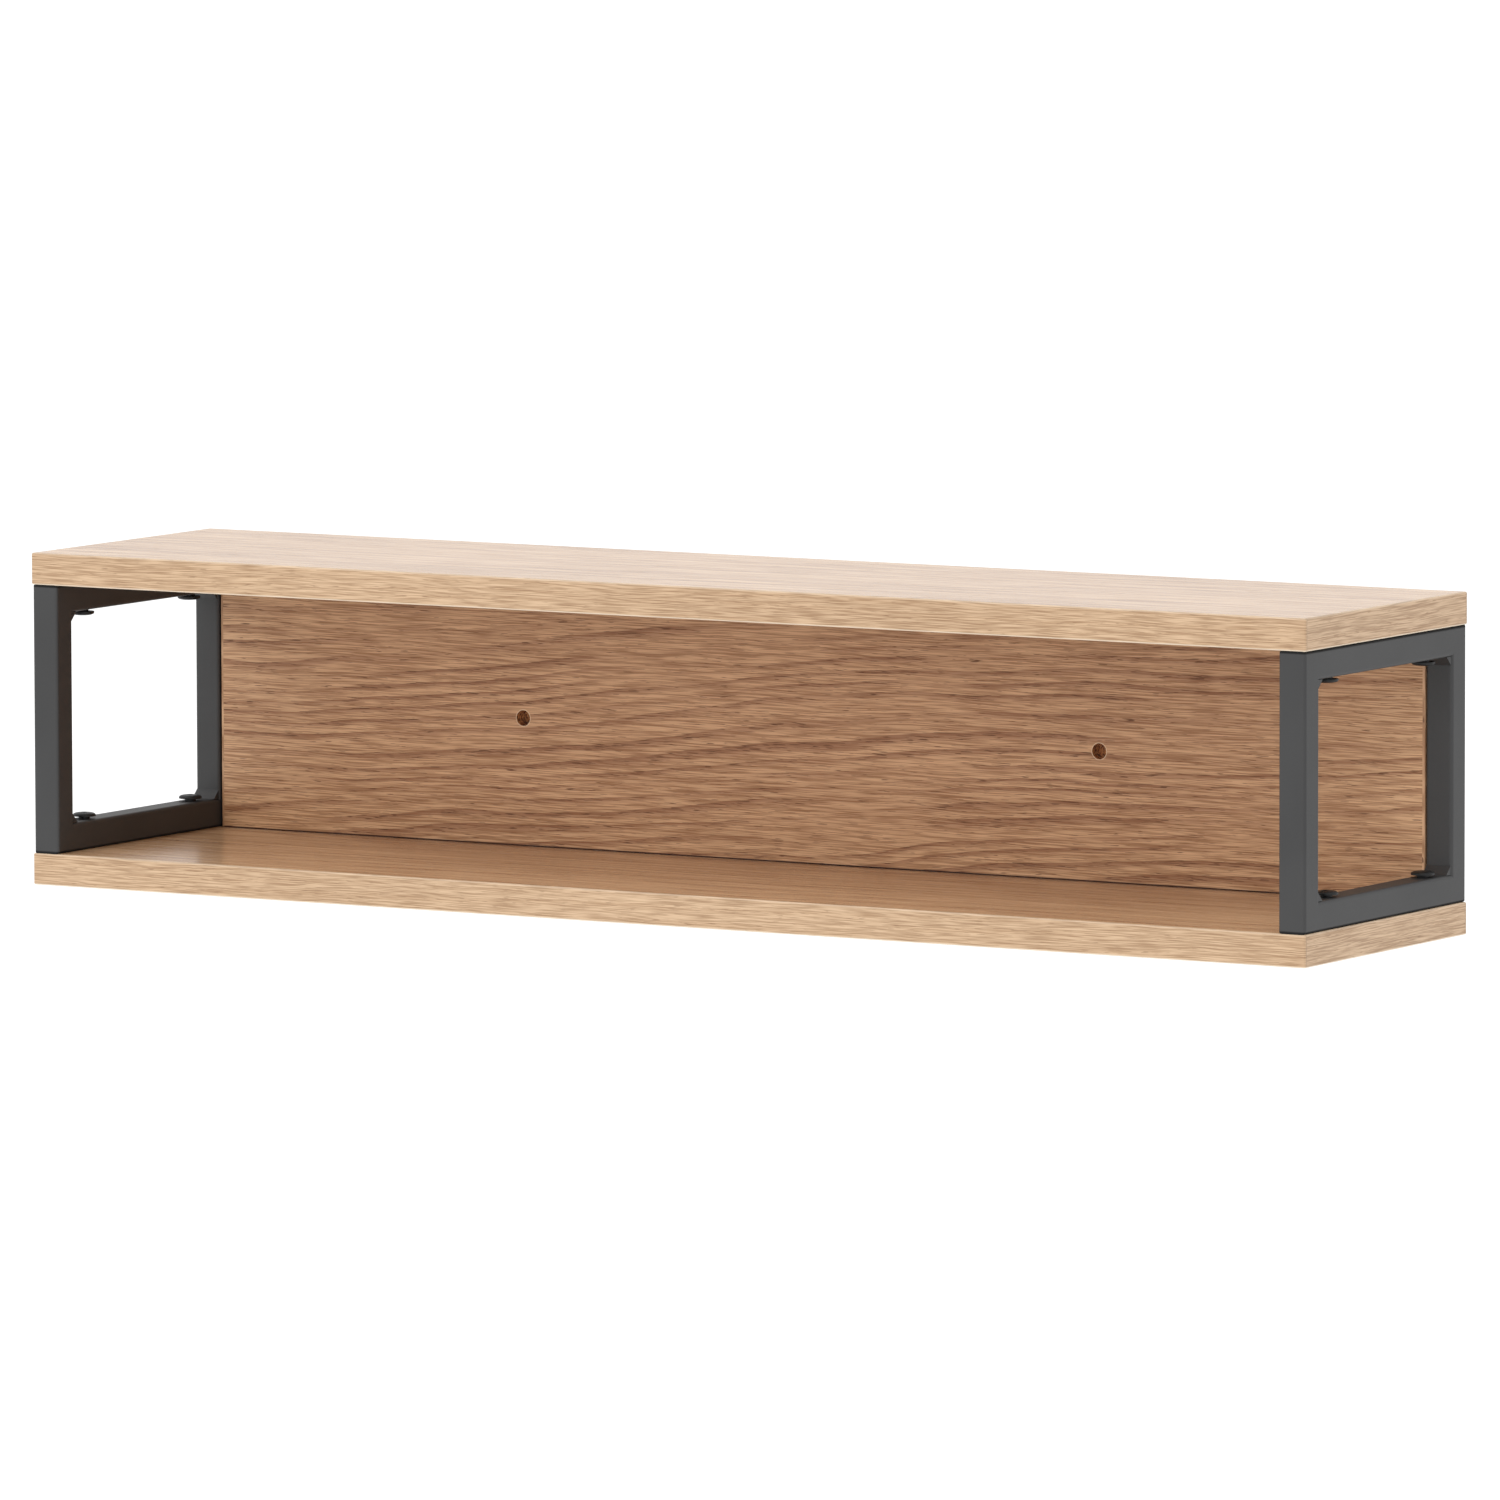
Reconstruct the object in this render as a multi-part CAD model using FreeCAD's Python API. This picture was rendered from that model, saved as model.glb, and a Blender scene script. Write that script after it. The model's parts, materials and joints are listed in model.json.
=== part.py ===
"""Open wall shelf: two oak-decor boards, a back panel and two welded square-tube frames.

Units are millimetres. X runs along the shelf, -Y is the front, +Y is the wall side and
+Z is up. The origin is under the middle of the shelf, on the underside of the bottom board.
Each separate piece is written to parts/NAME.step as its own solid; identical fasteners
share one file as a group of separate solids.
"""
import FreeCAD, Part
import math
import os

from FreeCAD import Vector

# ---- overall shelf ---------------------------------------------------------------------
SHELF_LENGTH = 1000.0
SHELF_DEPTH = 225.0
SHELF_HEIGHT = 230.0

# ---- boards and their edge bands -------------------------------------------------------
BOARD_THICKNESS = 22.0
BAND_THICKNESS = 2.0
BAND_ARRIS_RADIUS = 1.2       # long upper and lower edges of a band
BAND_CORNER_RADIUS = 1.5      # upright corners of a board

# ---- back panel ------------------------------------------------------------------------
PANEL_THICKNESS = 19.0
PANEL_END_GAP = 1.0           # between a panel end and the frame post beside it
PANEL_EDGE_GAP = 0.5          # between the panel's long edges and the boards
PANEL_ARRIS_RADIUS = 1.0      # upright edges of the panel's end bands
WALL_HOLE_DIAMETER = 11.0
WALL_HOLE_SPACING = 458.0
WALL_HOLE_HEIGHT = 111.0      # hole axis above the underside of the shelf

# ---- frames ----------------------------------------------------------------------------
TUBE_SIZE = 20.0
TUBE_WALL = 1.5
TUBE_CORNER_RADIUS = 2.5
FRAME_INSET = 0.5             # frame faces sit this far inside the board edges
WELD_LEG = 6.0                # inner corner weld, along both tubes
WELD_SIDE_MARGIN = 1.0        # weld stops this far short of the tube's side faces

# ---- frame bolts: M6 connector bolts with a wide flat head -----------------------------
BOLT_DIAMETER = 6.0
BOLT_LENGTH = 35.0            # under the head
BOLT_HEAD_DIAMETER = 16.0
BOLT_HEAD_RIM = 0.9
BOLT_HEAD_HEIGHT = 2.6
BOLT_HEAD_FLAT_DIAMETER = 7.0
BOLT_SHOULDER_DIAMETER = 8.0
BOLT_SHOULDER_HEIGHT = 1.8
BOLT_SOCKET_ACROSS_FLATS = 4.0
BOLT_SOCKET_DEPTH = 2.4
BOLT_PITCH = 1.0
BOLT_THREAD_DEPTH = 0.5
BOLT_THREAD_LENGTH = 15.0
BOLT_HOLE_CLEARANCE = 0.5     # on diameter, in the tube walls
FRONT_BOLT_FROM_POST = 27.5   # bolt axis behind the front post's inner face
BACK_BOLT_FROM_POST = 22.5    # bolt axis in front of the back post's inner face

# ---- threaded inserts in the boards ----------------------------------------------------
INSERT_DIAMETER = 10.0
INSERT_LENGTH = 13.0
INSERT_RIB_PITCH = 2.0
INSERT_RIB_DEPTH = 0.5
INSERT_BORE_CLEARANCE = 0.2   # on diameter, round the bolt
INSERT_FIT_CLEARANCE = 0.1    # on diameter, in the board
INSERT_HOLE_EXTRA_DEPTH = 3.0

# ---- cam locks, cam bolts and dowels between panel and boards --------------------------
CAM_DIAMETER = 14.8
CAM_HEIGHT = 13.0
CAM_FIT_CLEARANCE = 0.2       # on diameter and depth, in the panel
CAM_EDGE_DISTANCE = 24.0      # cam axis from the panel's long edge
CAM_END_DISTANCE = 140.0      # cam axis from the panel's end
CAM_SLOT_LENGTH = 8.0
CAM_SLOT_WIDTH = 1.6
CAM_SLOT_DEPTH = 2.5
CAM_BOLT_SHAFT_DIAMETER = 5.0
CAM_BOLT_COLLAR_DIAMETER = 7.2
CAM_BOLT_COLLAR_HEIGHT = 1.5
CAM_BOLT_NECK_DIAMETER = 3.6
CAM_BOLT_NECK_LENGTH = 4.0
CAM_BOLT_HEAD_DIAMETER = 6.4
CAM_BOLT_HEAD_LENGTH = 2.8
CAM_BOLT_THREAD_LENGTH = 11.0
CAM_BOLT_THREAD_PITCH = 2.2
CAM_BOLT_THREAD_DEPTH = 0.6
CAM_BOLT_FIT_CLEARANCE = 0.1  # on diameter, in the board
CAM_BOLT_BORE_CLEARANCE = 0.8  # on diameter, in the panel and the cam
DOWEL_DIAMETER = 8.0
DOWEL_LENGTH = 30.0
DOWEL_IN_BOARD = 11.0
DOWEL_FLUTES = 16
DOWEL_FLUTE_DEPTH = 0.25
DOWEL_CHAMFER = 1.0
DOWEL_FIT_CLEARANCE = 0.1     # on diameter
DOWEL_END_CLEARANCE = 1.0     # spare depth at each end
DOWEL_END_DISTANCE = 48.0     # outer dowels from the panel's ends

# ---- places worked out from the sizes above --------------------------------------------
LEFT = -SHELF_LENGTH / 2
RIGHT = SHELF_LENGTH / 2
FRONT = -SHELF_DEPTH / 2
BACK = SHELF_DEPTH / 2
LOWER_FACE = BOARD_THICKNESS                  # top of the bottom board
UPPER_FACE = SHELF_HEIGHT - BOARD_THICKNESS   # underside of the top board

FRAME_FRONT = FRONT + FRAME_INSET
FRAME_BACK = BACK - FRAME_INSET
FRONT_POST_INNER = FRAME_FRONT + TUBE_SIZE
BACK_POST_INNER = FRAME_BACK - TUBE_SIZE
FRAME_LEFT_SIDES = {
    "left": LEFT + FRAME_INSET,
    "right": RIGHT - FRAME_INSET - TUBE_SIZE,
}
BOLT_PLACES_Y = (
    FRONT_POST_INNER + FRONT_BOLT_FROM_POST,
    BACK_POST_INNER - BACK_BOLT_FROM_POST,
)

PANEL_LEFT = LEFT + FRAME_INSET + TUBE_SIZE + PANEL_END_GAP
PANEL_RIGHT = -PANEL_LEFT
PANEL_BACK = FRAME_BACK
PANEL_FRONT = PANEL_BACK - PANEL_THICKNESS
PANEL_MIDDLE = (PANEL_FRONT + PANEL_BACK) / 2
PANEL_BOTTOM = LOWER_FACE + PANEL_EDGE_GAP
PANEL_TOP = UPPER_FACE - PANEL_EDGE_GAP
CAM_PLACES_X = (PANEL_LEFT + CAM_END_DISTANCE, PANEL_RIGHT - CAM_END_DISTANCE)
DOWEL_PLACES_X = (PANEL_LEFT + DOWEL_END_DISTANCE, 0.0, PANEL_RIGHT - DOWEL_END_DISTANCE)

UP = Vector(0, 0, 1)
DOWN = Vector(0, 0, -1)
TOWARDS_FRONT = Vector(0, -1, 0)


def box_between(low, high):
    """A box from its lowest corner to its highest corner."""
    size = [top - bottom for bottom, top in zip(low, high)]
    return Part.makeBox(*size, Vector(*low))


def turned(profile, place, direction):
    """Revolve a closed (radius, height) outline about an axis along Z, then aim it."""
    points = [Vector(radius, 0, height) for radius, height in profile]
    outline = Part.makePolygon(points + points[:1])
    solid = Part.Face(outline).revolve(Vector(0, 0, 0), UP, 360)
    solid.Placement = FreeCAD.Placement(place, FreeCAD.Rotation(UP, direction))
    return solid


def cut_all(solid, tools):
    """Take every tool away from a solid."""
    for tool in tools:
        solid = solid.cut(tool)
    return solid


def ribs(outer_radius, depth, pitch, start, end):
    """Outline points of a threaded flank: crests and roots from one height to another."""
    turns = int(abs(end - start) / pitch)
    step = math.copysign(pitch, end - start)
    points = []
    for turn in range(turns):
        crest = start + step * turn
        points.append((outer_radius, crest))
        points.append((outer_radius, crest + step * 0.25))
        points.append((outer_radius - depth, crest + step * 0.5))
        points.append((outer_radius - depth, crest + step * 0.75))
    points.append((outer_radius, start + step * turns))
    return points


# ---- boards ----------------------------------------------------------------------------
def rounded_board(bottom):
    """The whole board with its softened corners and edges, before it is split."""
    low = (LEFT, FRONT, bottom)
    high = (RIGHT, BACK, bottom + BOARD_THICKNESS)
    board = box_between(low, high)
    upright = [e for e in board.Edges if abs(e.tangentAt(e.FirstParameter).z) > 0.9]
    board = board.makeFillet(BAND_CORNER_RADIUS, upright)
    middle = bottom + BOARD_THICKNESS / 2
    level = [
        e for e in board.Edges
        if abs(e.BoundBox.ZLength) < 1e-6 and abs(e.BoundBox.ZMin - middle) > 1.0
    ]
    return board.makeFillet(BAND_ARRIS_RADIUS, level)


def board_regions(bottom):
    """Boxes that divide a board into its core and its four edge bands."""
    top = bottom + BOARD_THICKNESS
    inner_left = LEFT + BAND_THICKNESS
    inner_right = RIGHT - BAND_THICKNESS
    inner_front = FRONT + BAND_THICKNESS
    inner_back = BACK - BAND_THICKNESS
    return {
        "": box_between((inner_left, inner_front, bottom), (inner_right, inner_back, top)),
        "_front_edge_band": box_between((LEFT, FRONT, bottom), (RIGHT, inner_front, top)),
        "_back_edge_band": box_between((LEFT, inner_back, bottom), (RIGHT, BACK, top)),
        "_left_edge_band": box_between((LEFT, inner_front, bottom), (inner_left, inner_back, top)),
        "_right_edge_band": box_between((inner_right, inner_front, bottom), (RIGHT, inner_back, top)),
    }


def board_bores(face, inward):
    """Blind bores in a board's inner face for inserts, cam bolts and dowels."""
    bores = []
    insert_radius = (INSERT_DIAMETER + INSERT_FIT_CLEARANCE) / 2
    insert_depth = INSERT_LENGTH + INSERT_HOLE_EXTRA_DEPTH
    for x, y in bolt_places():
        bores.append(Part.makeCylinder(insert_radius, insert_depth, Vector(x, y, face), inward))
    cam_bolt_radius = (CAM_BOLT_SHAFT_DIAMETER + CAM_BOLT_FIT_CLEARANCE) / 2
    cam_bolt_depth = CAM_BOLT_THREAD_LENGTH + DOWEL_END_CLEARANCE
    for x in CAM_PLACES_X:
        place = Vector(x, PANEL_MIDDLE, face)
        bores.append(Part.makeCylinder(cam_bolt_radius, cam_bolt_depth, place, inward))
    dowel_radius = (DOWEL_DIAMETER + DOWEL_FIT_CLEARANCE) / 2
    dowel_depth = DOWEL_IN_BOARD + DOWEL_END_CLEARANCE
    for x in DOWEL_PLACES_X:
        place = Vector(x, PANEL_MIDDLE, face)
        bores.append(Part.makeCylinder(dowel_radius, dowel_depth, place, inward))
    return bores


def board_parts(name, bottom, inner_face, inward):
    """A board's bored core and its four edge bands."""
    whole = rounded_board(bottom)
    parts = {name + suffix: whole.common(region) for suffix, region in board_regions(bottom).items()}
    parts[name] = cut_all(parts[name], board_bores(inner_face, inward))
    return parts


# ---- back panel ------------------------------------------------------------------------
def panel_bores():
    """Wall holes, cam pockets, cam bolt channels and dowel holes in the panel."""
    bores = []
    for side in (-1, 1):
        place = Vector(side * WALL_HOLE_SPACING / 2, PANEL_BACK + 1, WALL_HOLE_HEIGHT)
        bores.append(
            Part.makeCylinder(WALL_HOLE_DIAMETER / 2, PANEL_THICKNESS + 2, place, TOWARDS_FRONT))
    cam_radius = (CAM_DIAMETER + CAM_FIT_CLEARANCE) / 2
    cam_depth = CAM_HEIGHT + CAM_FIT_CLEARANCE
    channel_radius = (CAM_BOLT_COLLAR_DIAMETER + CAM_BOLT_BORE_CLEARANCE) / 2
    dowel_radius = (DOWEL_DIAMETER + DOWEL_FIT_CLEARANCE) / 2
    dowel_depth = DOWEL_LENGTH - DOWEL_IN_BOARD - PANEL_EDGE_GAP + DOWEL_END_CLEARANCE
    for edge, inward in ((PANEL_BOTTOM, UP), (PANEL_TOP, DOWN)):
        for x in CAM_PLACES_X:
            pocket = Vector(x, PANEL_BACK, edge + inward.z * CAM_EDGE_DISTANCE)
            channel = Vector(x, PANEL_MIDDLE, edge)
            bores.append(Part.makeCylinder(cam_radius, cam_depth, pocket, TOWARDS_FRONT))
            bores.append(Part.makeCylinder(channel_radius, CAM_EDGE_DISTANCE, channel, inward))
        for x in DOWEL_PLACES_X:
            place = Vector(x, PANEL_MIDDLE, edge)
            bores.append(Part.makeCylinder(dowel_radius, dowel_depth, place, inward))
    return bores


def panel_parts():
    """The back panel's bored core and its two end bands."""
    whole = box_between((PANEL_LEFT, PANEL_FRONT, PANEL_BOTTOM), (PANEL_RIGHT, PANEL_BACK, PANEL_TOP))
    upright = [e for e in whole.Edges if abs(e.tangentAt(e.FirstParameter).z) > 0.9]
    whole = whole.makeFillet(PANEL_ARRIS_RADIUS, upright)
    inner_left = PANEL_LEFT + BAND_THICKNESS
    inner_right = PANEL_RIGHT - BAND_THICKNESS
    core = box_between((inner_left, PANEL_FRONT, PANEL_BOTTOM), (inner_right, PANEL_BACK, PANEL_TOP))
    left_end = box_between((PANEL_LEFT, PANEL_FRONT, PANEL_BOTTOM), (inner_left, PANEL_BACK, PANEL_TOP))
    right_end = box_between((inner_right, PANEL_FRONT, PANEL_BOTTOM), (PANEL_RIGHT, PANEL_BACK, PANEL_TOP))
    return {
        "back_panel": cut_all(whole.common(core), panel_bores()),
        "back_panel_left_edge_band": whole.common(left_end),
        "back_panel_right_edge_band": whole.common(right_end),
    }


# ---- frames ----------------------------------------------------------------------------
def square_tube(low, high, along):
    """A hollow square tube with rounded edges between two corners, along Y or Z."""
    outer = box_between(low, high)
    inset = [0 if axis == along else TUBE_WALL for axis in range(3)]
    inner = box_between(
        tuple(value + gap for value, gap in zip(low, inset)),
        tuple(value - gap for value, gap in zip(high, inset)))
    inner_radius = max(TUBE_CORNER_RADIUS - TUBE_WALL, 0.2)
    return (rounded_along(outer, along, TUBE_CORNER_RADIUS)
            .cut(rounded_along(inner, along, inner_radius)))


def rounded_along(block, along, radius):
    """Round the four edges of a block that run along one axis."""
    edges = [e for e in block.Edges if abs(e.tangentAt(e.FirstParameter)[along]) > 0.9]
    return block.makeFillet(radius, edges)


def prism_across(x, width, outline):
    """Extrude a closed (y, z) outline along X."""
    points = [Vector(x, y, z) for y, z in outline]
    return Part.Face(Part.makePolygon(points + points[:1])).extrude(Vector(width, 0, 0))


def frame_tubes(x):
    """The four mitred tubes of one frame whose left side face is at x."""
    front, back, low, high = FRAME_FRONT, FRAME_BACK, LOWER_FACE, UPPER_FACE
    size = TUBE_SIZE
    posts = {
        "front_post": (front, front + size, front),
        "back_post": (back - size, back, back),
    }
    rails = {
        "bottom_rail": (low, low + size, low),
        "top_rail": (high - size, high, high),
    }
    tubes = {}
    for name, (near, far, outer) in posts.items():
        blank = square_tube((x, near, low), (x + size, far, high), along=2)
        inner = near + far - outer
        outline = [(outer, low), (outer, high), (inner, high - size), (inner, low + size)]
        tubes[name] = blank.common(prism_across(x, size, outline))
    for name, (under, over, outer) in rails.items():
        blank = square_tube((x, front, under), (x + size, back, over), along=1)
        inner = under + over - outer
        outline = [(front, outer), (back, outer), (back - size, inner), (front + size, inner)]
        rail = blank.common(prism_across(x, size, outline))
        tubes[name] = cut_all(rail, rail_bolt_holes(x + size / 2, under))
    return tubes


def rail_bolt_holes(x, bottom):
    """Bolt holes right through a rail."""
    radius = (BOLT_DIAMETER + BOLT_HOLE_CLEARANCE) / 2
    return [
        Part.makeCylinder(radius, TUBE_SIZE + 2, Vector(x, y, bottom - 1), UP)
        for y in BOLT_PLACES_Y
    ]


def frame_welds(x):
    """The four weld fillets inside a frame's corners."""
    start = x + WELD_SIDE_MARGIN
    width = TUBE_SIZE - 2 * WELD_SIDE_MARGIN
    welds = []
    for y, into_window_y in ((FRONT_POST_INNER, 1), (BACK_POST_INNER, -1)):
        for z, into_window_z in ((LOWER_FACE + TUBE_SIZE, 1), (UPPER_FACE - TUBE_SIZE, -1)):
            outline = [
                (y, z),
                (y + into_window_y * WELD_LEG, z),
                (y, z + into_window_z * WELD_LEG),
            ]
            welds.append(prism_across(start, width, outline))
    return Part.makeCompound(welds)


# ---- frame bolts and inserts -----------------------------------------------------------
def bolt_places():
    """(x, y) of every frame bolt, on the middle line of its rail."""
    return [
        (x + TUBE_SIZE / 2, y)
        for x in FRAME_LEFT_SIDES.values()
        for y in BOLT_PLACES_Y
    ]


def frame_bolt(x, y, rail_face, direction):
    """A bolt whose shoulder sits on a rail's window face and points at its board."""
    shank_radius = BOLT_DIAMETER / 2
    tip = BOLT_LENGTH
    thread_start = BOLT_LENGTH - BOLT_THREAD_LENGTH
    flat_radius = BOLT_HEAD_FLAT_DIAMETER / 2
    head_radius = BOLT_HEAD_DIAMETER / 2
    profile = [(0.0, -BOLT_HEAD_HEIGHT), (flat_radius, -BOLT_HEAD_HEIGHT)]
    profile += dome_points(flat_radius, head_radius, BOLT_HEAD_HEIGHT, BOLT_HEAD_RIM)
    profile += [
        (head_radius, 0.0),
        (BOLT_SHOULDER_DIAMETER / 2, 0.0),
        (BOLT_SHOULDER_DIAMETER / 2, BOLT_SHOULDER_HEIGHT),
        (shank_radius, BOLT_SHOULDER_HEIGHT),
    ]
    profile += ribs(shank_radius, BOLT_THREAD_DEPTH, BOLT_PITCH, thread_start, tip - BOLT_PITCH)
    profile += [(shank_radius - BOLT_THREAD_DEPTH, tip), (0.0, tip)]
    seat = Vector(x, y, rail_face - direction.z * BOLT_SHOULDER_HEIGHT)
    bolt = turned(profile, seat, direction)
    return bolt.cut(hex_socket(seat - direction * BOLT_HEAD_HEIGHT, direction))


def dome_points(inner_radius, outer_radius, height, rim):
    """Points down a domed head from its flat top to its rim, on a quarter ellipse."""
    steps = 8
    points = []
    for step in range(1, steps + 1):
        angle = math.radians(90 * step / steps)
        radius = inner_radius + (outer_radius - inner_radius) * math.sin(angle)
        level = rim + (height - rim) * math.cos(angle)
        points.append((radius, -level))
    return points


def hex_socket(face, direction):
    """The hexagon socket cut into a bolt head from its outer face."""
    corner_radius = BOLT_SOCKET_ACROSS_FLATS / math.sqrt(3)
    corners = [
        face + Vector(corner_radius * math.cos(angle), corner_radius * math.sin(angle), 0)
        for angle in (math.radians(60 * side) for side in range(6))
    ]
    hexagon = Part.Face(Part.makePolygon(corners + corners[:1]))
    return hexagon.extrude(direction * BOLT_SOCKET_DEPTH)


def frame_bolts(x):
    """The four bolts of one frame: two up into the top board, two down into the bottom."""
    middle = x + TUBE_SIZE / 2
    bolts = []
    for y in BOLT_PLACES_Y:
        bolts.append(frame_bolt(middle, y, UPPER_FACE - TUBE_SIZE, UP))
        bolts.append(frame_bolt(middle, y, LOWER_FACE + TUBE_SIZE, DOWN))
    return Part.makeCompound(bolts)


def board_inserts(face, inward):
    """The four threaded inserts of one board, flush with its inner face."""
    outer = INSERT_DIAMETER / 2
    bore = (BOLT_DIAMETER + INSERT_BORE_CLEARANCE) / 2
    profile = [(bore, 0.0)]
    profile += ribs(outer, INSERT_RIB_DEPTH, INSERT_RIB_PITCH, 0.0, INSERT_LENGTH - 1.0)
    profile += [(outer - INSERT_RIB_DEPTH, INSERT_LENGTH), (bore, INSERT_LENGTH)]
    return Part.makeCompound([turned(profile, Vector(x, y, face), inward) for x, y in bolt_places()])


# ---- cam fittings and dowels -----------------------------------------------------------
def cam_lock(x, edge, inward):
    """A cam in its pocket on the wall side of the panel, with its bolt cavity."""
    centre_z = edge + inward.z * CAM_EDGE_DISTANCE
    cam = Part.makeCylinder(CAM_DIAMETER / 2, CAM_HEIGHT, Vector(x, PANEL_BACK, centre_z), TOWARDS_FRONT)
    cavity_radius = (CAM_BOLT_COLLAR_DIAMETER + CAM_BOLT_BORE_CLEARANCE) / 2
    cavity_start = Vector(x, PANEL_MIDDLE, centre_z - inward.z * CAM_DIAMETER)
    cavity_length = CAM_DIAMETER + CAM_BOLT_HEAD_LENGTH
    cavity = Part.makeCylinder(cavity_radius, cavity_length, cavity_start, inward)
    half_long = CAM_SLOT_LENGTH / 2
    half_wide = CAM_SLOT_WIDTH / 2
    slots = [
        box_between(
            (x - across, PANEL_BACK - CAM_SLOT_DEPTH, centre_z - upward),
            (x + across, PANEL_BACK, centre_z + upward))
        for across, upward in ((half_long, half_wide), (half_wide, half_long))
    ]
    return cut_all(cam, [cavity] + slots)


def cam_bolt(x, face, inward):
    """A cam bolt screwed into a board, reaching across the gap to the cam."""
    shaft = CAM_BOLT_SHAFT_DIAMETER / 2
    collar = CAM_BOLT_COLLAR_DIAMETER / 2
    neck = CAM_BOLT_NECK_DIAMETER / 2
    head = CAM_BOLT_HEAD_DIAMETER / 2
    reach = PANEL_EDGE_GAP + CAM_EDGE_DISTANCE
    head_start = reach - CAM_BOLT_HEAD_LENGTH / 2
    neck_start = head_start - CAM_BOLT_NECK_LENGTH
    head_end = reach + CAM_BOLT_HEAD_LENGTH / 2
    profile = [(0.0, -CAM_BOLT_THREAD_LENGTH), (shaft - CAM_BOLT_THREAD_DEPTH, -CAM_BOLT_THREAD_LENGTH)]
    profile += ribs(shaft, CAM_BOLT_THREAD_DEPTH, CAM_BOLT_THREAD_PITCH,
                    -CAM_BOLT_THREAD_LENGTH + 1.0, -CAM_BOLT_THREAD_PITCH / 2)
    profile += [
        (shaft, 0.0),
        (collar, 0.0),
        (collar, CAM_BOLT_COLLAR_HEIGHT),
        (shaft, CAM_BOLT_COLLAR_HEIGHT),
        (shaft, neck_start),
        (neck, neck_start),
        (neck, head_start),
        (head, head_start),
        (head, head_end),
        (0.0, head_end),
    ]
    return turned(profile, Vector(x, PANEL_MIDDLE, face), inward)


def wood_dowel(x, face, inward):
    """A fluted dowel with chamfered ends, partly in a board and partly in the panel."""
    start = Vector(x, PANEL_MIDDLE, face) - inward * DOWEL_IN_BOARD
    radius = DOWEL_DIAMETER / 2
    points = []
    for step in range(2 * DOWEL_FLUTES):
        angle = math.pi * step / DOWEL_FLUTES
        reach = radius + 0.01 if step % 2 == 0 else radius - DOWEL_FLUTE_DEPTH
        points.append(start + Vector(reach * math.cos(angle), reach * math.sin(angle), 0))
    fluted = Part.Face(Part.makePolygon(points + points[:1])).extrude(inward * DOWEL_LENGTH)
    blunt = radius - DOWEL_CHAMFER
    profile = [
        (0.0, 0.0),
        (blunt, 0.0),
        (radius, DOWEL_CHAMFER),
        (radius, DOWEL_LENGTH - DOWEL_CHAMFER),
        (blunt, DOWEL_LENGTH),
        (0.0, DOWEL_LENGTH),
    ]
    return fluted.common(turned(profile, start, inward))


def panel_fasteners():
    """Cams, cam bolts and dowels along both long edges of the panel."""
    edges = ((PANEL_BOTTOM, LOWER_FACE, UP), (PANEL_TOP, UPPER_FACE, DOWN))
    cams = [cam_lock(x, edge, inward) for edge, _, inward in edges for x in CAM_PLACES_X]
    bolts = [cam_bolt(x, face, inward) for _, face, inward in edges for x in CAM_PLACES_X]
    dowels = [wood_dowel(x, face, inward) for _, face, inward in edges for x in DOWEL_PLACES_X]
    return {
        "cam_locks": Part.makeCompound(cams),
        "cam_bolts": Part.makeCompound(bolts),
        "wood_dowels": Part.makeCompound(dowels),
    }


# ---- whole shelf -----------------------------------------------------------------------
def all_parts():
    """Every piece of the shelf by name."""
    parts = {}
    parts.update(board_parts("bottom_board", 0.0, LOWER_FACE, DOWN))
    parts.update(board_parts("top_board", UPPER_FACE, UPPER_FACE, UP))
    parts.update(panel_parts())
    for side, x in FRAME_LEFT_SIDES.items():
        for name, tube in frame_tubes(x).items():
            parts[side + "_frame_" + name] = tube
        parts[side + "_frame_welds"] = frame_welds(x)
        parts[side + "_frame_bolts"] = frame_bolts(x)
    parts["bottom_board_inserts"] = board_inserts(LOWER_FACE, DOWN)
    parts["top_board_inserts"] = board_inserts(UPPER_FACE, UP)
    parts.update(panel_fasteners())
    return parts


def write_parts():
    """Check each piece and write it to its own STEP file."""
    os.makedirs("parts", exist_ok=True)
    for name, shape in all_parts().items():
        if not shape.Solids or not shape.isValid():
            raise ValueError("piece is not a valid solid: " + name)
        shape.exportStep("parts/" + name + ".step")
        print(name, len(shape.Solids), "solid(s)", round(shape.Volume), "mm3")


write_parts()
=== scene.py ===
"""Looks, light and camera for a wall shelf: two oak boards, a back panel and a steel frame at each end.

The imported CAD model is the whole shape. This script gives every CAD node a procedural material, and adds
a floor, lights and a camera. Lengths inside the materials are in millimetres. All other lengths are in
metres unless a comment says otherwise. Angles are in degrees, and colours are linear.
"""

import json
import math
from dataclasses import dataclass

import bpy
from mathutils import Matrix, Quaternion, Vector


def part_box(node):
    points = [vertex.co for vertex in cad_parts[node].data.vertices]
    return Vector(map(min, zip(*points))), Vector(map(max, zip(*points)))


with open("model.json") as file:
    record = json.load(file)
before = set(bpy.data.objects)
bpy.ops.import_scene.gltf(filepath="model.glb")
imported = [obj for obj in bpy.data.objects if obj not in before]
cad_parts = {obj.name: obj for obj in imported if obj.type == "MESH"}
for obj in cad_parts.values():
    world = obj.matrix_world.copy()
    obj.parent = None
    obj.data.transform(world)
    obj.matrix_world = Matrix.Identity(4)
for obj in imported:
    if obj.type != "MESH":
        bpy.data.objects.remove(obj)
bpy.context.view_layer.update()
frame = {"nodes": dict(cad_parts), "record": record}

NODES = frame["nodes"]
MM = 1000.0  # millimetres in a metre

# ---------------------------------------------------------------- view and light

CAMERA_TARGET = Vector((0.0097, 0.0, 0.1091))
CAMERA_DISTANCE = 9.520
CAMERA_AZIMUTH = 30.96    # from straight in front towards the right end
CAMERA_ELEVATION = 5.841
CAMERA_ROLL = -0.143
CAMERA_LENS = 337.03      # millimetres
CAMERA_SENSOR = 36.0      # millimetres
CAMERA_NEAR = 0.1
CAMERA_FAR = 500.0

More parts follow.
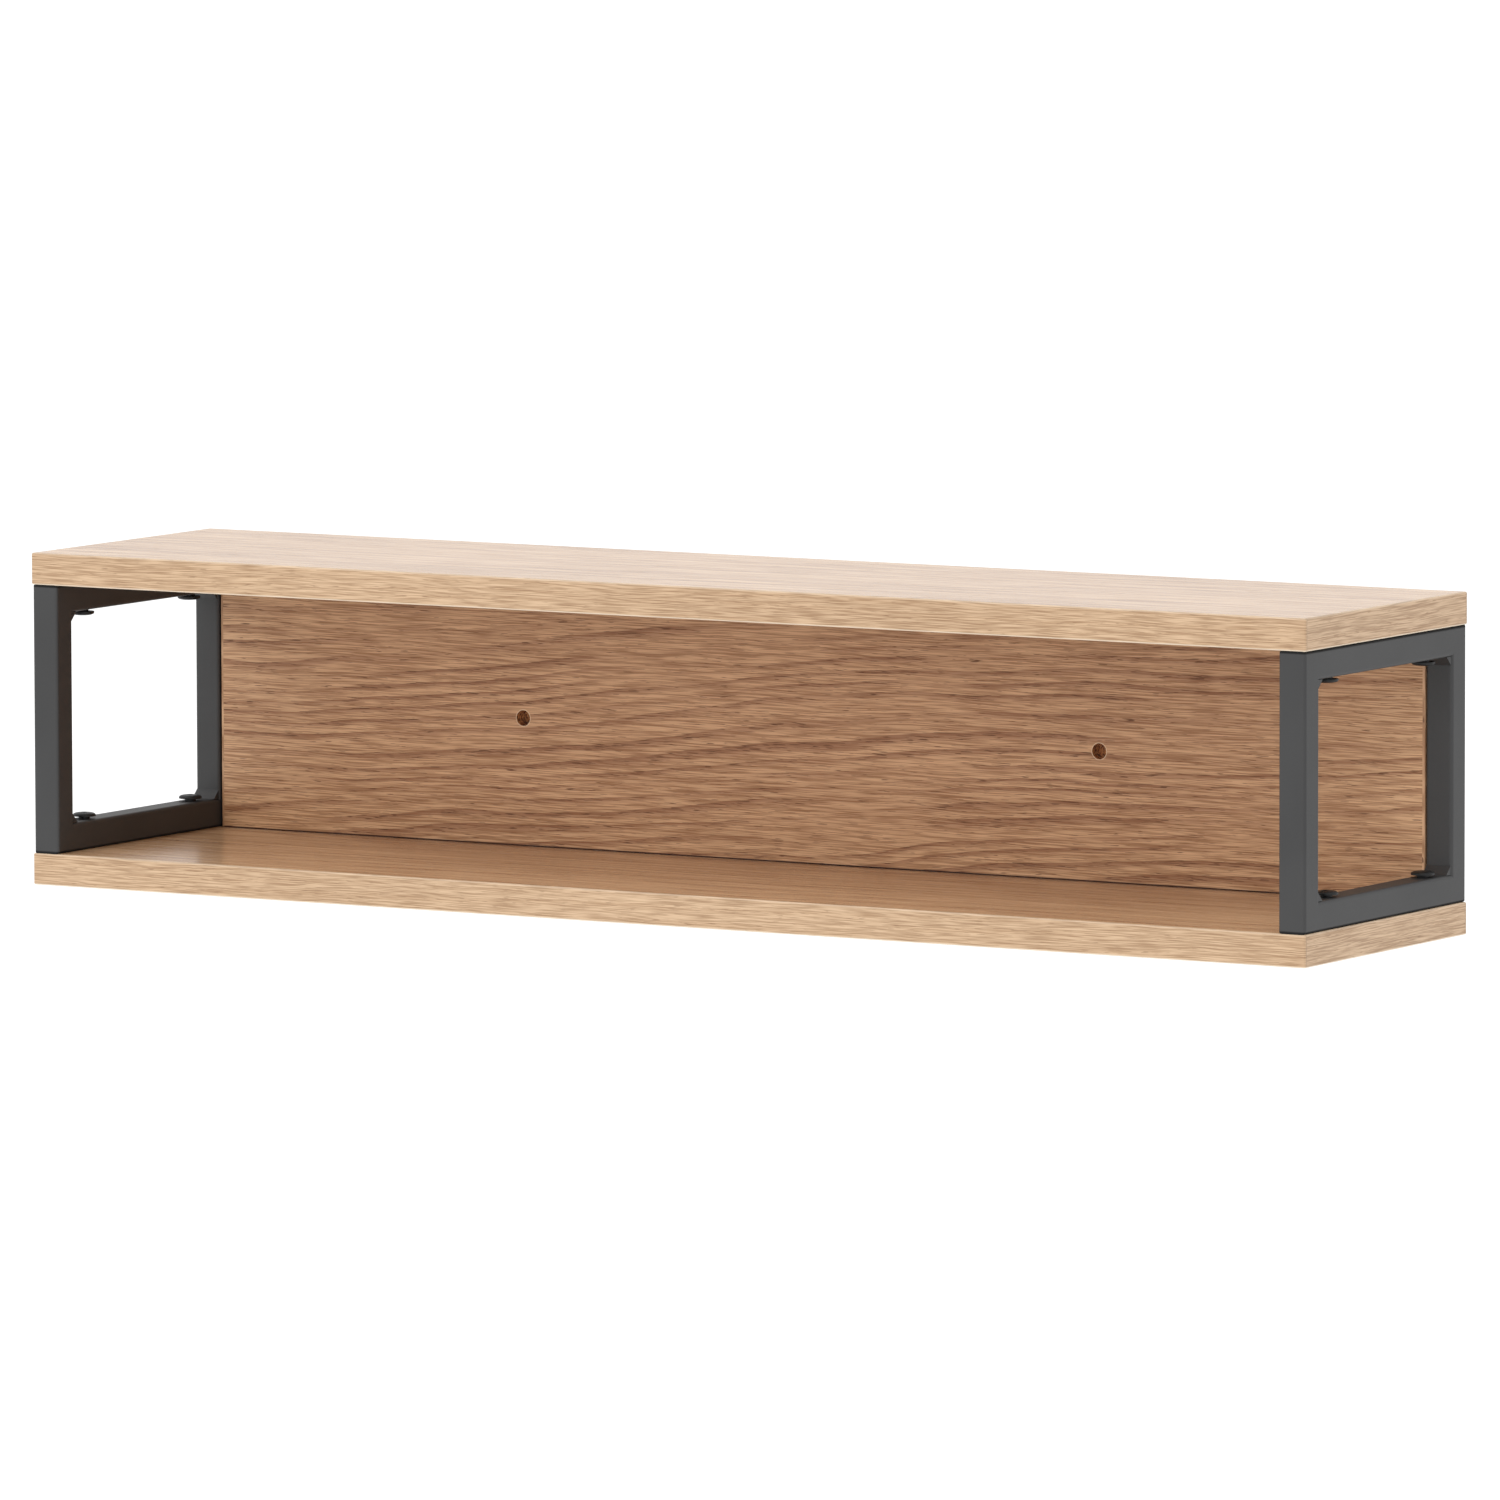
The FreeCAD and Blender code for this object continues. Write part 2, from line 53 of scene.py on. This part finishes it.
WORLD_BRIGHTNESS = 1.0
SUN_AZIMUTH = -5.0        # measured as the camera's is
SUNS = {                  # elevation, strength, and the angle across the sun's disc
    "key": (33.0, 0.75, 60.0),
    "overhead": (62.0, 0.52, 35.0),
}

FLOOR_DROP = 1.2          # the shelf hangs this far above the floor
FLOOR_SIZE = 400.0

# ---------------------------------------------------------------- shader building blocks


MIX_COLOUR_INPUTS = (6, 7)  # the Mix node has a pair of inputs for each data type: these take colours
MIX_COLOUR_OUTPUT = 2


class Graph:
    """A material's node tree, with short calls for the nodes that the materials here are made of."""

    def __init__(self, name):
        self.material = bpy.data.materials.new(name)
        self.material.use_nodes = True
        self.tree = self.material.node_tree
        self.tree.nodes.clear()

    def add(self, kind, **settings):
        node = self.tree.nodes.new(kind)
        for key, value in settings.items():
            setattr(node, key, value)
        return node

    def feed(self, socket, value):
        """Links a socket to another node's output, or sets the number or colour on it."""
        if isinstance(value, bpy.types.NodeSocket):
            self.tree.links.new(value, socket)
        elif value is not None:
            socket.default_value = value

    def math(self, operation, first, second=None, third=None):
        node = self.add("ShaderNodeMath", operation=operation)
        for socket, value in zip(node.inputs, (first, second, third)):
            self.feed(socket, value)
        return node.outputs[0]

    def plus(self, first, second):
        return self.math("ADD", first, second)

    def minus(self, first, second):
        return self.math("SUBTRACT", first, second)

    def times(self, first, second):
        return self.math("MULTIPLY", first, second)

    def smaller(self, first, second):
        return self.math("MINIMUM", first, second)

    def absolute(self, value):
        return self.math("ABSOLUTE", value)

    def square(self, value):
        return self.math("POWER", value, 2.0)

    def position(self):
        """The object's own coordinates as three outputs, in millimetres."""
        coordinates = self.add("ShaderNodeTexCoord").outputs["Object"]
        scaled = self.add("ShaderNodeVectorMath", operation="SCALE")
        self.feed(scaled.inputs[0], coordinates)
        self.feed(scaled.inputs["Scale"], MM)
        return self.split(scaled.outputs[0])

    def normal(self):
        """The surface's direction in the object's own coordinates, as three outputs."""
        return self.split(self.add("ShaderNodeTexCoord").outputs["Normal"])

    def split(self, vector):
        """A vector's or colour's three parts."""
        node = self.add("ShaderNodeSeparateXYZ")
        self.feed(node.inputs[0], vector)
        return list(node.outputs)

    def join(self, x, y, z):
        node = self.add("ShaderNodeCombineXYZ")
        for socket, value in zip(node.inputs, (x, y, z)):
            self.feed(socket, value)
        return node.outputs[0]

    def noise(self, place, lengths, detail=2.0, roughness=0.5, seed=0.0):
        """Noise from 0 to 1 whose features are as long as lengths along each coordinate.

        A different seed gives a different pattern.
        """
        scaled = [self.math("MULTIPLY_ADD", p, 1.0 / size, seed) for p, size in zip(place, lengths)]
        node = self.add("ShaderNodeTexNoise")
        self.feed(node.inputs["Vector"], self.join(*scaled))
        self.feed(node.inputs["Scale"], 1.0)
        self.feed(node.inputs["Detail"], detail)
        self.feed(node.inputs["Roughness"], roughness)
        return node.outputs["Fac"]

    def swing(self, noise, size):
        """Turns noise, from 0 to 1, into something from -size / 2 to size / 2."""
        return self.times(self.minus(noise, 0.5), size)

    def step(self, value, start, end, low=0.0, high=1.0):
        """Goes smoothly from low to high as value goes from start to end."""
        node = self.add("ShaderNodeMapRange", interpolation_type="SMOOTHSTEP")
        for socket, number in zip(node.inputs, (value, start, end, low, high)):
            self.feed(socket, number)
        return node.outputs[0]

    def fade(self, value, start, end):
        """1 up to start and 0 from end on, with a smooth change between them."""
        return self.step(value, start, end, low=1.0, high=0.0)

    def mix(self, factor, first, second):
        """Goes from the first colour to the second as factor goes from 0 to 1."""
        node = self.add("ShaderNodeMix", data_type="RGBA")
        self.feed(node.inputs["Factor"], factor)
        for index, value in zip(MIX_COLOUR_INPUTS, (first, second)):
            self.feed(node.inputs[index], value)
        return node.outputs[MIX_COLOUR_OUTPUT]

    def bump(self, height, depth):
        """A bumped normal. depth is how many millimetres a height of 1 stands for."""
        node = self.add("ShaderNodeBump")
        self.feed(node.inputs["Strength"], 1.0)
        self.feed(node.inputs["Distance"], depth / MM)
        self.feed(node.inputs["Height"], height)
        return node.outputs[0]

    def surface(self, colour, roughness, normal, **constants):
        """Ends the tree in a Principled shader. constants are set straight on its sockets."""
        shader = self.add("ShaderNodeBsdfPrincipled")
        self.feed(shader.inputs["Base Color"], colour)
        self.feed(shader.inputs["Roughness"], roughness)
        self.feed(shader.inputs["Normal"], normal)
        for name, value in constants.items():
            self.feed(shader.inputs[name.replace("_", " ")], value)
        output = self.add("ShaderNodeOutputMaterial")
        self.feed(output.inputs["Surface"], shader.outputs[0])
        return self.material


def colour(red, green, blue):
    """An opaque colour, as sockets take it."""
    return (red, green, blue, 1.0)


def dress(name, material):
    """Puts a material on every slot of a CAD node."""
    mesh = NODES[name].data
    if not mesh.materials:
        mesh.materials.append(material)
    for slot in range(len(mesh.materials)):
        mesh.materials[slot] = material


# ---------------------------------------------------------------- oak


@dataclass
class Oak:
    """How one kind of oak face looks. A depth is how strongly a detail shows, from 0 to 1."""

    light: tuple
    dark: tuple
    ring_colour: tuple    # at the dark edge of a growth ring
    pore_colour: tuple
    slope: float          # how steeply the growth rings cross the grain
    sway: float           # how far they wander off that slope
    ring: float           # from one ring to the next
    ring_depth: float
    fibre_length: float
    fibre_width: float
    fibre_depth: float
    streak_width: float
    streak_depth: float
    pore_length: float
    pore_width: float
    pore_depth: float
    seed: float


BOARD_OAK = Oak(
    light=colour(0.74, 0.498, 0.296), dark=colour(0.345, 0.186, 0.090),
    ring_colour=colour(0.28, 0.128, 0.055), pore_colour=colour(0.17, 0.080, 0.035),
    slope=0.035, sway=75.0, ring=17.0, ring_depth=0.50,
    fibre_length=45.0, fibre_width=1.0, fibre_depth=0.60, streak_width=7.0, streak_depth=0.38,
    pore_length=12.0, pore_width=0.6, pore_depth=0.6, seed=2.0)
PANEL_OAK = Oak(
    light=colour(0.69, 0.426, 0.240), dark=colour(0.335, 0.164, 0.073),
    ring_colour=colour(0.235, 0.086, 0.033), pore_colour=colour(0.10, 0.036, 0.013),
    slope=0.072, sway=50.0, ring=10.5, ring_depth=0.66,
    fibre_length=26.0, fibre_width=0.66, fibre_depth=0.85, streak_width=4.0, streak_depth=0.16,
    pore_length=10.0, pore_width=0.50, pore_depth=0.80, seed=5.0)
BAND_OAK = Oak(
    light=colour(0.60, 0.418, 0.262), dark=colour(0.31, 0.182, 0.093),
    ring_colour=colour(0.42, 0.25, 0.13), pore_colour=colour(0.19, 0.095, 0.040),
    slope=0.02, sway=10.0, ring=7.0, ring_depth=0.20,
    fibre_length=26.0, fibre_width=0.66, fibre_depth=0.85, streak_width=3.0, streak_depth=0.10,
    pore_length=9.0, pore_width=0.55, pore_depth=0.50, seed=9.0)

GRAIN_WAVE = 5.0              # how far fibres and pores swing sideways
PORE_THRESHOLD = 0.745        # the noise level above which a pore opens
PORES_IN_RINGS = 0.11         # how much lower that level is in a growth ring,
PORES_IN_PATCHES = 0.10       # and in a patch with many pores
PORE_EDGE = 0.07              # how far above that level a pore is at its darkest
PATCH_DEPTH = 0.35            # how strongly the large light and dark areas show

CHIP_LENGTHS = (2.2, 1.1, 1.6)
CHIP_LIGHT = colour(0.62, 0.26, 0.085)
CHIP_DARK = colour(0.07, 0.021, 0.006)

# Painted shade: the thin dark line where the back panel meets the boards.
SHADE_LINE_COLOUR = colour(0.075, 0.022, 0.009)
SHADE_LINE_WIDTH = 0.32
HOLE_RIM = colour(0.80, 0.62, 0.42)       # where drilling has lifted the decor
HOLE_RIM_WIDTH = 0.6

ARRIS_HIGHLIGHT = colour(0.80, 0.68, 0.53)   # painted highlight along a band's arris
LOWER_ARRIS_HIGHLIGHT = 0.80                   # how strong the painted highlight is on the lower arris
UPPER_ARRIS_HIGHLIGHT = 0.25
ARRIS_HIGHLIGHT_START = 0.55                   # from the edge, where the painted highlight starts to fade,
ARRIS_HIGHLIGHT_END = 1.25                     # and where it is gone
ARRIS_HIGHLIGHT_SWING = 0.5
GLUE_LINE = colour(0.17, 0.09, 0.04)
GLUE_LINE_DEPTH = 0.75
# how strongly that painted shade line shows on the boards
SHADE_LINE_DEPTH_ON_BOARDS = 0.95
HOLE_RIM_DEPTH = 0.85


def growth_rings(g, place, oak):
    """1 at the dark edge of a growth ring, falling off slowly on one side of it and fast on the other."""
    along, across, depth = place
    drift = g.noise(place, (330.0, 110.0, 60.0), detail=1.5, roughness=0.45, seed=oak.seed)
    ripple = g.noise(place, (60.0, 30.0, 30.0), detail=2.0, roughness=0.5, seed=oak.seed + 3.1)
    level = g.minus(across, g.times(along, oak.slope))
    level = g.plus(level, g.swing(drift, oak.sway))
    level = g.plus(level, g.swing(ripple, 0.5 * oak.ring))
    ring_place = (along, level, depth)
    spacing = g.noise(ring_place, (900.0, 3.0 * oak.ring, 80.0), detail=1.0, seed=oak.seed + 5.3)
    phase = g.math("FRACT", g.plus(g.times(level, 1.0 / oak.ring), g.times(spacing, 2.4)))
    edge = g.times(g.step(phase, 0.40, 0.92), g.fade(phase, 0.93, 1.0))
    strength = g.noise(ring_place, (150.0, 2.2 * oak.ring, 60.0), detail=1.0, seed=oak.seed + 7.9)
    return g.times(edge, g.step(strength, 0.36, 0.62, low=0.15, high=1.0))


def oak_figure(g, along, across, depth, oak):
    """Oak seen on a face: returns its colour, its height and its roughness.

    Fibres and pores run along the first coordinate with only a slight wave. Growth rings cross them.
    """
    place = (along, across, depth)
    wave = g.noise(place, (110.0, 35.0, 40.0), detail=1.0, seed=oak.seed + 11.0)
    fibre_line = g.plus(across, g.swing(wave, GRAIN_WAVE))
    grain = (along, fibre_line, depth)
    rings = growth_rings(g, place, oak)
    fibre_lengths = (oak.fibre_length, oak.fibre_width, 14.0)
    fibres = g.noise(grain, fibre_lengths, detail=1.6, roughness=0.5, seed=oak.seed + 17.9)
    streak_lengths = (260.0, oak.streak_width, 30.0)
    streaks = g.noise(grain, streak_lengths, detail=2.0, roughness=0.55, seed=oak.seed + 13.3)
    pore_lengths = (oak.pore_length, oak.pore_width, 9.0)
    pore_noise = g.noise(grain, pore_lengths, detail=0.5, seed=oak.seed + 23.3)
    pore_cover = g.noise(grain, (45.0, 6.0, 20.0), detail=1.0, seed=oak.seed + 29.0)
    more_pores = g.plus(g.times(rings, PORES_IN_RINGS), g.times(pore_cover, PORES_IN_PATCHES))
    pores = g.step(g.minus(pore_noise, g.minus(PORE_THRESHOLD, more_pores)), 0.0, PORE_EDGE)
    patches = g.noise(place, (300.0, 60.0, 50.0), detail=1.0, seed=oak.seed + 31.7)

    tone = g.times(g.step(fibres, 0.33, 0.67), oak.fibre_depth)
    tone = g.plus(tone, g.times(g.step(streaks, 0.30, 0.70), oak.streak_depth))
    tone = g.plus(tone, g.swing(patches, PATCH_DEPTH))
    tint = g.mix(tone, oak.light, oak.dark)
    tint = g.mix(g.times(rings, oak.ring_depth), tint, oak.ring_colour)
    tint = g.mix(g.times(pores, oak.pore_depth), tint, oak.pore_colour)

    height = g.minus(g.times(fibres, -0.8), pores)
    roughness = g.plus(g.times(fibres, 0.10), g.times(pores, 0.12))
    return tint, height, roughness


def chipboard(g, place):
    """Raw chipboard, as a cut edge or a drilled bore shows it: returns its colour and its height."""
    scaled = [g.times(p, 1.0 / size) for p, size in zip(place, CHIP_LENGTHS)]
    cells = g.add("ShaderNodeTexVoronoi", feature="F1")
    g.feed(cells.inputs["Vector"], g.join(*scaled))
    g.feed(cells.inputs["Scale"], 1.0)
    chip = g.split(cells.outputs["Color"])[0]
    grit = g.noise(place, (0.5, 0.5, 0.5), detail=2.0)
    marks = g.noise((0.0, place[1], 0.0), (9.0, 0.55, 9.0), detail=1.0)
    tone = g.plus(g.times(chip, 0.6), g.times(grit, 0.25))
    tone = g.plus(tone, g.times(marks, 0.35))
    return g.mix(g.step(tone, 0.25, 0.95), CHIP_LIGHT, CHIP_DARK), tone


def face_mask(g, axis):
    """1 where the surface faces along an axis (0 x, 1 y, 2 z), and 0 on the surfaces beside it."""
    return g.step(g.absolute(g.normal()[axis]), 0.60, 0.75)


def seam_shade(g, x, y, z):
    """1 in the thin line of painted shade where the back panel stands on the boards."""
    low, high = [Vector(corner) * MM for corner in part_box("back_panel")]
    from_edge = g.smaller(g.absolute(g.minus(z, low.z)), g.absolute(g.minus(z, high.z)))
    at_panel_edge = g.fade(from_edge, SHADE_LINE_WIDTH, 2.0 * SHADE_LINE_WIDTH)
    in_front = g.fade(g.minus(low.y, y), SHADE_LINE_WIDTH, 2.0 * SHADE_LINE_WIDTH)
    behind = g.fade(g.minus(y, high.y), SHADE_LINE_WIDTH, 2.0 * SHADE_LINE_WIDTH)
    beside = g.fade(g.minus(g.absolute(x), high.x), 0.0, SHADE_LINE_WIDTH)
    return g.times(g.times(at_panel_edge, beside), g.times(in_front, behind))


def bare_where_cut(g, place, tint, height, decor, raw_relief):
    """Puts chipboard where decor is 0: returns the new colour and height.

    raw_relief is how much rougher the chipboard's relief is than the decor's.
    """
    raw, raw_height = chipboard(g, place)
    raw_part = g.times(g.minus(1.0, decor), raw_relief)
    tint = g.mix(decor, raw, tint)
    height = g.plus(g.times(height, decor), g.times(raw_height, raw_part))
    return tint, height


def board_material(name):
    """Oak decor on both faces, with bare chipboard on the cut edges and in the bores."""
    g = Graph(name)
    x, y, z = g.position()
    tint, height, roughness = oak_figure(g, x, y, z, BOARD_OAK)
    decor = face_mask(g, 2)
    tint, height = bare_where_cut(g, (x, y, z), tint, height, decor, raw_relief=4.0)
    # Painted shade along the line where the back panel meets the board.
    tint = g.mix(g.times(seam_shade(g, x, y, z), SHADE_LINE_DEPTH_ON_BOARDS), tint, SHADE_LINE_COLOUR)
    roughness = g.plus(roughness, g.step(decor, 0.0, 1.0, low=0.75, high=0.17))
    return g.surface(tint, roughness, g.bump(height, depth=0.012), IOR=1.42)


def panel_material(name):
    """Oak decor front and back, chipboard in the holes and on the long edges, and pale hole rims."""
    g = Graph(name)
    x, y, z = g.position()
    tint, height, roughness = oak_figure(g, x, z, y, PANEL_OAK)
    tint = g.mix(g.times(hole_rims(g, x, z), HOLE_RIM_DEPTH), tint, HOLE_RIM)
    decor = face_mask(g, 1)
    tint, height = bare_where_cut(g, (x, y, z), tint, height, decor, raw_relief=6.0)
    # Painted shade along the panel's top and bottom edges, where it meets the boards.
    tint = g.mix(seam_shade(g, x, y, z), tint, SHADE_LINE_COLOUR)
    roughness = g.plus(roughness, g.step(decor, 0.0, 1.0, low=1.0, high=0.42))
    return g.surface(tint, roughness, g.bump(height, depth=0.03), IOR=1.45)


def hole_rims(g, x, z):
    """1 in a narrow ring round each wall hole."""
    rims = 0.0
    for hole_x, hole_z, radius in wall_holes():
        from_axis = g.math("SQRT", g.plus(g.square(g.minus(x, hole_x)), g.square(g.minus(z, hole_z))))
        rims = g.plus(rims, g.fade(from_axis, radius + 0.15, radius + 0.15 + HOLE_RIM_WIDTH))
    return rims


def wall_holes():
    """Each wall hole's x, z and radius, from the bolt pattern in the record."""
    for mount in frame["record"]["mounts"]:
        if mount["kind"] != "bolt_pattern":
            continue
        middle = Vector(mount["pos_m"]) * MM
        spacing = mount["dims"]["spacing_x_mm"]
        count = mount["dims"]["count"]
        radius = mount["dims"]["hole_r_mm"]
        for index in range(count):
            yield middle.x + spacing * (index - (count - 1) / 2), middle.z, radius


def band_material(name, node):
    """A printed edge band: grain along it, and a dark line where its ends meet another part.

    On the boards its long edges carry a painted highlight, stronger on the lower edge. The panel's upright
    bands look like the panel itself.
    """
    low, high = [Vector(corner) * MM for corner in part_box(node)]
    size = high - low
    thickness_axis, width_axis, length_axis = sorted(range(3), key=lambda axis: size[axis])
    upright = length_axis == 2
    g = Graph(name)
    place = g.position()
    along = place[length_axis]
    oak = PANEL_OAK if upright else BAND_OAK
    tint, height, roughness = oak_figure(g, along, place[width_axis], place[thickness_axis], oak)
    # Painted highlight along the board bands' long arrises.
    arris_highlight = 0.0 if upright else painted_arris_highlights(g, place, width_axis, low, high)
    tint = g.mix(arris_highlight, tint, ARRIS_HIGHLIGHT)
    if length_axis != 0:  # the bands along x run past the others, so their own ends are free
        from_end = g.smaller(g.minus(along, low[length_axis]), g.minus(high[length_axis], along))
        tint = g.mix(g.times(g.fade(from_end, 0.10, 0.55), GLUE_LINE_DEPTH), tint, GLUE_LINE)
    height = g.times(height, g.minus(1.0, arris_highlight))
    roughness = g.plus(roughness, g.step(arris_highlight, 0.0, 1.0, low=0.38, high=0.30))
    return g.surface(tint, roughness, g.bump(height, depth=0.03), IOR=1.5)


def painted_arris_highlights(g, place, width_axis, low, high):
    """How strong the painted highlight is along a band's long edges: an uneven line, stronger on the lower
    edge.
    """
    across = place[width_axis]
    highlight_wobble = g.swing(g.noise(place, (25.0, 25.0, 6.0), detail=2.0, seed=4.0), ARRIS_HIGHLIGHT_SWING)
    from_low = g.plus(g.minus(across, low[width_axis]), highlight_wobble)
    from_high = g.plus(g.minus(high[width_axis], across), highlight_wobble)
    low_arris = g.step(from_low, ARRIS_HIGHLIGHT_START, ARRIS_HIGHLIGHT_END, low=LOWER_ARRIS_HIGHLIGHT, high=0.0)
    high_arris = g.step(from_high, ARRIS_HIGHLIGHT_START, ARRIS_HIGHLIGHT_END, low=UPPER_ARRIS_HIGHLIGHT, high=0.0)
    return g.plus(low_arris, high_arris)


# ---------------------------------------------------------------- metal and dowels


COAT_DARK = colour(0.022, 0.022, 0.0225)
COAT_LIGHT = colour(0.027, 0.027, 0.0275)
COAT_SPECK = colour(0.055, 0.055, 0.056)
# Painted black shade on the tube edges that lie against the boards.
TUBE_SHADE_COLOUR = colour(0.001, 0.001, 0.001)
TUBE_SHADE_WIDTH = 2.2


def powder_coat_material(name):
    """Fine-texture anthracite powder coat: even dark grey, with black shade painted on the tube edges
    beside the boards.
    """
    g = Graph(name)
    place = g.position()
    clouds = g.noise(place, (60.0, 60.0, 60.0), detail=2.0)
    texture = g.noise(place, (0.55, 0.55, 0.55), detail=2.0, roughness=0.6)
    specks = g.noise(place, (0.28, 0.28, 0.28), detail=1.0, seed=8.0)
    tint = g.mix(g.step(clouds, 0.3, 0.7), COAT_DARK, COAT_LIGHT)
    tint = g.mix(g.step(specks, 0.62, 0.80, low=0.0, high=0.5), tint, COAT_SPECK)
    tube_shade = painted_tube_shade(g, place[2])
    # Paints black shade on the tube edges next to the boards.
    tint = g.mix(tube_shade, tint, TUBE_SHADE_COLOUR)
    roughness = g.plus(g.step(texture, 0.2, 0.8, low=0.47, high=0.59), g.times(tube_shade, 0.45))
    return g.surface(tint, roughness, g.bump(texture, depth=0.02), IOR=1.54)


def painted_tube_shade(g, z):
    """1 on the rounded edges of the tubes that lie against a board, where black shade is painted."""
    corners = [Vector(corner) * MM for part in coated_parts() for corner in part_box(part)]
    bottom = min(corner.z for corner in corners)
    top = max(corner.z for corner in corners)
    to_board = g.smaller(g.minus(z, bottom), g.minus(top, z))
    return g.fade(to_board, 0.5 * TUBE_SHADE_WIDTH, TUBE_SHADE_WIDTH)


def coated_parts():
    """The names of the CAD nodes that have the powder coat."""
    for subpart in frame["record"]["subparts"]:
        if subpart["material_slot"] == "frame_powder_coat":
            yield subpart["node"]


def black_bolt_material(name):
    """Black-coated steel, a little glossy, with rubbed spots."""
    g = Graph(name)
    place = g.position()
    rubbed = g.noise(place, (1.8, 1.8, 0.8), detail=3.0, roughness=0.6)
    fine = g.noise(place, (0.25, 0.25, 0.25), detail=1.0)
    tint = g.mix(g.step(rubbed, 0.55, 0.78), colour(0.006, 0.006, 0.0065), colour(0.022, 0.022, 0.021))
    roughness = g.step(rubbed, 0.3, 0.75, low=0.42, high=0.52)
    return g.surface(tint, roughness, g.bump(fine, depth=0.006), IOR=1.4)


def metal_material(name, light, dark, grain, smoothest):
    """Bare plated or cast metal. grain is the size of its mottling, and smoothest its lowest roughness."""
    g = Graph(name)
    place = g.position()
    mottle = g.noise(place, (grain, grain, grain), detail=3.0, roughness=0.6)
    scuffs = g.noise(place, (4.0, 0.4, 4.0), detail=2.0, seed=6.0)
    tint = g.mix(g.step(mottle, 0.3, 0.7), colour(*light), colour(*dark))
    roughness = g.step(mottle, 0.3, 0.7, low=smoothest, high=smoothest + 0.14)
    roughness = g.plus(roughness, g.times(scuffs, 0.08))
    return g.surface(tint, roughness, g.bump(mottle, depth=0.01), Metallic=1.0)


def beech_material(name):
    """Plain beech dowel: pale, straight-grained, with short dark flecks."""
    g = Graph(name)
    x, y, z = g.position()
    grain = g.noise((x, y, z), (0.9, 0.9, 26.0), detail=2.0, roughness=0.6)
    flecks = g.noise((x, y, z), (0.35, 0.35, 2.2), detail=1.0, seed=5.0)
    tint = g.mix(g.step(grain, 0.3, 0.7), colour(0.62, 0.42, 0.25), colour(0.47, 0.29, 0.155))
    tint = g.mix(g.step(flecks, 0.64, 0.74, low=0.0, high=0.7), tint, colour(0.26, 0.13, 0.06))
    return g.surface(tint, 0.62, g.bump(grain, depth=0.03), IOR=1.45)


# ---------------------------------------------------------------- dressing the CAD nodes


def dress_all():
    """Gives each CAD node the material of its slot, and each edge band one of its own."""
    by_slot = {
        "oak_board": board_material("oak_board"),
        "oak_panel": panel_material("oak_panel"),
        "frame_powder_coat": powder_coat_material("powder_coat"),
        "bolt_black": black_bolt_material("black_bolt"),
        "insert_zinc": metal_material("zinc_insert", light=(0.62, 0.61, 0.58), dark=(0.46, 0.45, 0.43),
                                      grain=1.2, smoothest=0.28),
        "cam_zinc": metal_material("zinc_cam", light=(0.55, 0.55, 0.56), dark=(0.40, 0.40, 0.41),
                                   grain=2.0, smoothest=0.42),
        "cam_bolt_steel": metal_material("zinc_steel", light=(0.66, 0.64, 0.58), dark=(0.52, 0.50, 0.46),
                                         grain=0.8, smoothest=0.24),
        "beech_dowel": beech_material("beech"),
    }
    for subpart in frame["record"]["subparts"]:
        node = subpart["node"]
        slot = subpart["material_slot"]
        if slot == "oak_edge_band":
            dress(node, band_material("band_" + node, node))
        else:
            dress(node, by_slot[slot])


# ---------------------------------------------------------------- floor, light and camera


def make_floor():
    """A plain pale floor, far below the shelf."""
    half = FLOOR_SIZE / 2
    corners = [(-half, -half, 0.0), (half, -half, 0.0), (half, half, 0.0), (-half, half, 0.0)]
    mesh = bpy.data.meshes.new("floor")
    mesh.from_pydata(corners, [], [(0, 1, 2, 3)])
    floor = bpy.data.objects.new("floor", mesh)
    floor.location.z = -FLOOR_DROP
    bpy.context.scene.collection.objects.link(floor)
    g = Graph("floor")
    clouds = g.noise(g.position(), (900.0, 900.0, 900.0), detail=1.0)
    tint = g.mix(clouds, colour(0.93, 0.93, 0.93), colour(0.95, 0.95, 0.95))
    mesh.materials.append(g.surface(tint, 0.9, None, Specular_IOR_Level=0.0))


def make_world():
    """Even white light from all round."""
    world = bpy.data.worlds.new("studio")
    world.use_nodes = True
    background = world.node_tree.nodes["Background"]
    background.inputs["Color"].default_value = colour(1.0, 1.0, 1.0)
    background.inputs["Strength"].default_value = WORLD_BRIGHTNESS
    bpy.context.scene.world = world


def add_sun(name, elevation, strength, disc):
    """A soft directional light. disc is the angle across the sun's disc."""
    data = bpy.data.lights.new(name, "SUN")
    data.energy = strength
    data.angle = math.radians(disc)
    sun = bpy.data.objects.new(name, data)
    sun.rotation_mode = "QUATERNION"
    sun.rotation_quaternion = (-direction(SUN_AZIMUTH, elevation)).to_track_quat("-Z", "Y")
    bpy.context.scene.collection.objects.link(sun)


def direction(azimuth, elevation):
    """The unit vector from the shelf towards something at an azimuth and elevation."""
    a = math.radians(azimuth)
    e = math.radians(elevation)
    return Vector((math.sin(a) * math.cos(e), -math.cos(a) * math.cos(e), math.sin(e)))


def make_camera():
    """A long-lens camera to the front right of the shelf, slightly above it."""
    back = direction(CAMERA_AZIMUTH, CAMERA_ELEVATION)
    data = bpy.data.cameras.new("camera")
    data.sensor_width = CAMERA_SENSOR
    data.lens = CAMERA_LENS
    data.clip_start = CAMERA_NEAR
    data.clip_end = CAMERA_FAR
    camera = bpy.data.objects.new("camera", data)
    camera.location = CAMERA_TARGET + back * CAMERA_DISTANCE
    camera.rotation_mode = "QUATERNION"
    roll = Quaternion((0.0, 0.0, 1.0), math.radians(CAMERA_ROLL))
    camera.rotation_quaternion = (-back).to_track_quat("-Z", "Y") @ roll
    bpy.context.scene.collection.objects.link(camera)
    bpy.context.scene.camera = camera


dress_all()
make_floor()
make_world()
for sun_name, (sun_elevation, sun_strength, sun_disc) in SUNS.items():
    add_sun(sun_name, sun_elevation, sun_strength, sun_disc)
make_camera()
bpy.context.scene.view_settings.view_transform = "Standard"
